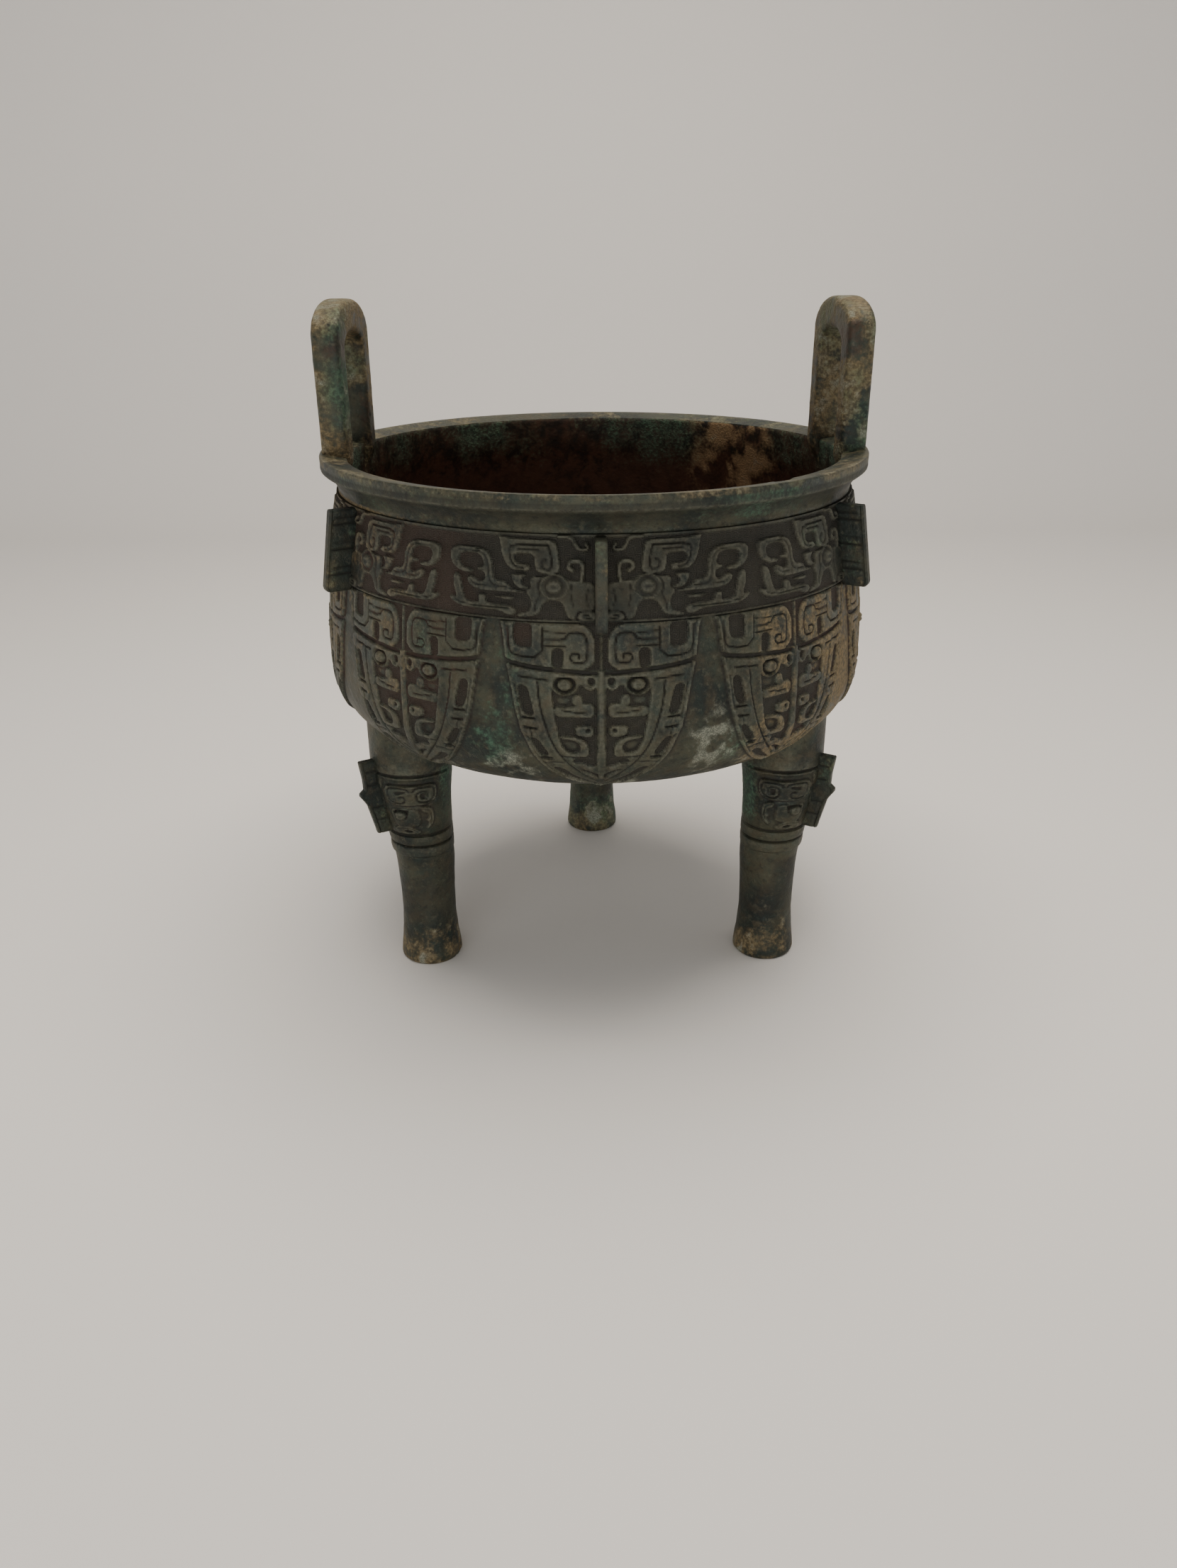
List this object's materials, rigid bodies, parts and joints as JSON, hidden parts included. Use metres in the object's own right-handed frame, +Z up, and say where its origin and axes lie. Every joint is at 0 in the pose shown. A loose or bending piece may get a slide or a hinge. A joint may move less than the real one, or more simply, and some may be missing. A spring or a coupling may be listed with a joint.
{
  "type": "bronze ding vessel",
  "caption": "Round tripod food vessel of cast bronze with upright loop ears, flanges, mask relief and a band of hanging blades.",
  "frame": {"origin": "on the ground under the vessel's axis, level with the feet", "axes": "+Z up along the vessel's axis; -Y is the front, with a flange of the upper band on it, two legs beside it and the third leg behind; the ears are at +X and -X"},
  "size_m": [0.3088, 0.3246, 0.367],
  "materials": {
    "patinated_bronze": "dark grey-green to black patina, uneven, with green and tan corrosion in places"
  },
  "bodies": {
    "root": {"ding_vessel": "patinated_bronze"}
  },
  "joints": []
}
